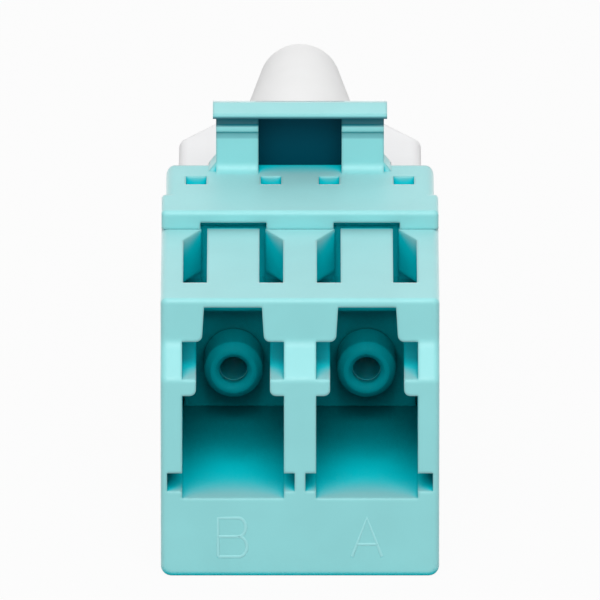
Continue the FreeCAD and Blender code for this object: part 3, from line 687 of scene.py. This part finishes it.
class RECEPTACLE_OT_boot(bpy.types.Operator):
    """Turn the strain relief boot with its rounded end"""
    bl_idname = "receptacle.boot"
    bl_label = "Turn boot"

    def execute(self, context):
        settings = context.scene.receptacle
        detail = settings.detail
        low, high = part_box("boot")
        cover_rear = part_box("rear_cover")[1].y
        post_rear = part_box("backbone")[1].y
        taper_start = high.y - detail.boot_taper
        rounding = detail.boot_rounding
        narrowing = detail.boot_radius - detail.boot_tip_radius
        tilt = math.degrees(math.atan2(narrowing, detail.boot_taper))
        lip = detail.boot_bore_rounding
        room_rear = post_rear + detail.boot_room_clearance
        collar_rear = low.y + detail.boot_collar
        outline = [
            (detail.boot_bore, room_rear), (detail.boot_room, room_rear), (detail.boot_room, low.y),
            (high.x, low.y), (high.x, collar_rear), (detail.boot_neck, collar_rear),
            (detail.boot_neck, cover_rear), (detail.boot_radius, cover_rear),
            (detail.boot_radius, taper_start),
            *arc((detail.boot_tip_radius - rounding, high.y - rounding), rounding, tilt, 90, 12),
            *arc((detail.boot_bore + lip, high.y - lip), lip, 90, 180, 6)]
        boot = new_piece("boot_sleeve", turned("boot_sleeve", outline))
        boot.data.materials.append(plain_plastic(
            "moulded_white_elastomer", settings.finish.boot, roughness=0.6, grain_size=0.2 * MM))
        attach(boot, "shell")
        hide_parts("boot")
        return {"FINISHED"}


# ---- studio --------------------------------------------------------------------------------------

def seen_directly(tree):
    """One where the camera, a mirror or glass sees a surface, and zero for its light."""
    path = add_node(tree, "ShaderNodeLightPath").outputs
    seen = combined(tree, "ADD", path["Is Camera Ray"], path["Is Glossy Ray"])
    return combined(tree, "ADD", seen, path["Is Transmission Ray"], use_clamp=True)


def studio_floor(whiteness):
    """Matt white card that shows near white and still takes a soft shadow."""
    material = new_material("matt_white_card")
    tree = material.node_tree
    lit = add_node(tree, "ShaderNodeBsdfDiffuse", {"Color": rgba(linear("#b4b4b4"))})
    white = add_node(tree, "ShaderNodeEmission", {"Color": (1, 1, 1, 1), "Strength": 1.0})
    shown = combined(tree, "MULTIPLY", seen_directly(tree), whiteness)
    shader = add_node(
        tree, "ShaderNodeMixShader", {0: shown, 1: lit.outputs[0], 2: white.outputs[0]})
    return finish_material(material, shader)


def studio_world(strength):
    world = bpy.data.worlds.new("studio_white")
    world.use_nodes = True
    tree = world.node_tree
    tree.nodes.clear()
    level = add_node(
        tree, "ShaderNodeMix", {0: seen_directly(tree), 2: strength, 3: 1.0}, data_type="FLOAT")
    light = add_node(
        tree, "ShaderNodeBackground", {"Color": (1, 1, 1, 1), "Strength": level.outputs[0]})
    add_node(tree, "ShaderNodeOutputWorld", {"Surface": light.outputs[0]})
    return world


def add_lamp(name, watts, end, height, aim):
    """Add a round lamp over the front (end -1) or the rear (end 1), turned to the part's middle."""
    studio = bpy.context.scene.receptacle.studio
    lamp = bpy.data.lights.new(name, "AREA")
    lamp.energy = watts
    lamp.shape = "DISK"
    lamp.size = studio.lamp_size
    away = Vector((0, end * math.cos(height), math.sin(height)))
    piece = new_piece(name, lamp)
    piece.location = aim + away * studio.lamp_distance
    piece.rotation_euler = away.to_track_quat("Z", "Y").to_euler()


class RECEPTACLE_OT_studio(bpy.types.Operator):
    """Set up the floor, lamps, world and camera"""
    bl_idname = "receptacle.studio"
    bl_label = "Set up studio"

    def execute(self, context):
        studio = context.scene.receptacle.studio
        half = studio.floor_width / 2
        card = bpy.data.meshes.new("floor")
        corners = [(-half, -half), (half, -half), (half, half), (-half, half)]
        card.from_pydata([(x, y, rest_height()) for x, y in corners], [], [(0, 1, 2, 3)])
        floor = new_piece("floor", card)
        card.materials.append(studio_floor(studio.floor_whiteness))

        middle = Vector((0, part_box("front_housing")[1].y, 0))
        add_lamp("key_lamp", studio.key, -1, studio.key_height, middle)
        add_lamp("rear_lamp", studio.rear, 1, studio.rear_height, middle)
        context.scene.world = studio_world(studio.ambient)

        lens = bpy.data.cameras.new("camera")
        lens.lens = lens.sensor_width * studio.distance / studio.view_width
        lens.clip_start = 0.01
        lens.clip_end = 20
        camera = new_piece("camera", lens)
        away = Vector((0, -math.cos(studio.elevation), math.sin(studio.elevation)))
        camera.location = Vector((0, studio.aim_depth, 0)) + away * studio.distance
        camera.rotation_euler = (math.pi / 2 - studio.elevation, 0, 0)
        context.scene.camera = camera
        context.scene.view_settings.view_transform = "Standard"
        return {"FINISHED"}


class RECEPTACLE_PT_sidebar(bpy.types.Panel):
    """Settings and steps of the receptacle"""
    bl_label = "Receptacle"
    bl_idname = "RECEPTACLE_PT_sidebar"
    bl_space_type = "VIEW_3D"
    bl_region_type = "UI"
    bl_category = "Receptacle"

    def draw(self, context):
        settings = context.scene.receptacle
        for group in (settings.finish, settings.detail, settings.studio):
            box = self.layout.box()
            for name in group.__annotations__:
                box.prop(group, name)
        for operator in OPERATORS:
            self.layout.operator(operator.bl_idname)


GROUPS = (ReceptacleFinish, ReceptacleDetail, ReceptacleStudio, ReceptacleSettings)
OPERATORS = (
    RECEPTACLE_OT_studio, RECEPTACLE_OT_housings, RECEPTACLE_OT_letters, RECEPTACLE_OT_cover,
    RECEPTACLE_OT_boot, RECEPTACLE_OT_inner_parts, RECEPTACLE_OT_springs)


def register():
    for item in (*GROUPS, *OPERATORS, RECEPTACLE_PT_sidebar):
        bpy.utils.register_class(item)
    bpy.types.Scene.receptacle = PointerProperty(type=ReceptacleSettings)


def unregister():
    del bpy.types.Scene.receptacle
    for item in reversed((*GROUPS, *OPERATORS, RECEPTACLE_PT_sidebar)):
        bpy.utils.unregister_class(item)


def main():
    register()
    bpy.ops.receptacle.studio()
    bpy.ops.receptacle.housings()
    bpy.ops.receptacle.letters()
    bpy.ops.receptacle.cover()
    bpy.ops.receptacle.boot()
    bpy.ops.receptacle.inner_parts()
    bpy.ops.receptacle.springs()


if __name__ == "__main__":
    main()
